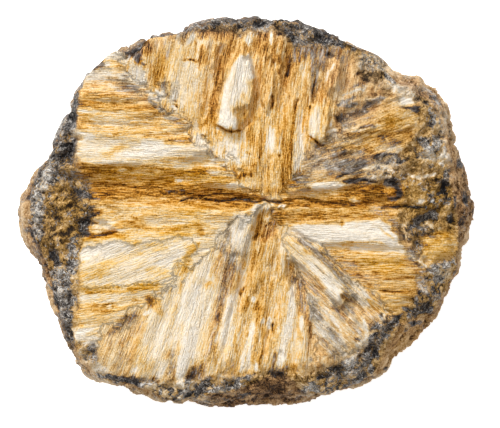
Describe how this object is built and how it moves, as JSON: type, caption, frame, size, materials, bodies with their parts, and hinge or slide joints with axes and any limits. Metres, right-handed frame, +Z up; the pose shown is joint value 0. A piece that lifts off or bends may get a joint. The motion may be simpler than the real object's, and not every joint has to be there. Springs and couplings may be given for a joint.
{
  "type": "chiastolite specimen",
  "caption": "Broken cross-section of a chiastolite crystal: fibrous sectors meet at a core in a rough dark rim and crust, lying on a flat back.",
  "frame": {"origin": "under the middle of the specimen, on the surface that its flat back rests on", "axes": "+Z up, out of the broken fibrous face; +X along the longest side, which is also along the long groove; +Y across it"},
  "size_m": [0.0616, 0.0526, 0.0205],
  "materials": {
    "stone": "rough, silky along the fibres of the broken face"
  },
  "bodies": {
    "root": {"chiastolite": "stone"}
  },
  "joints": []
}
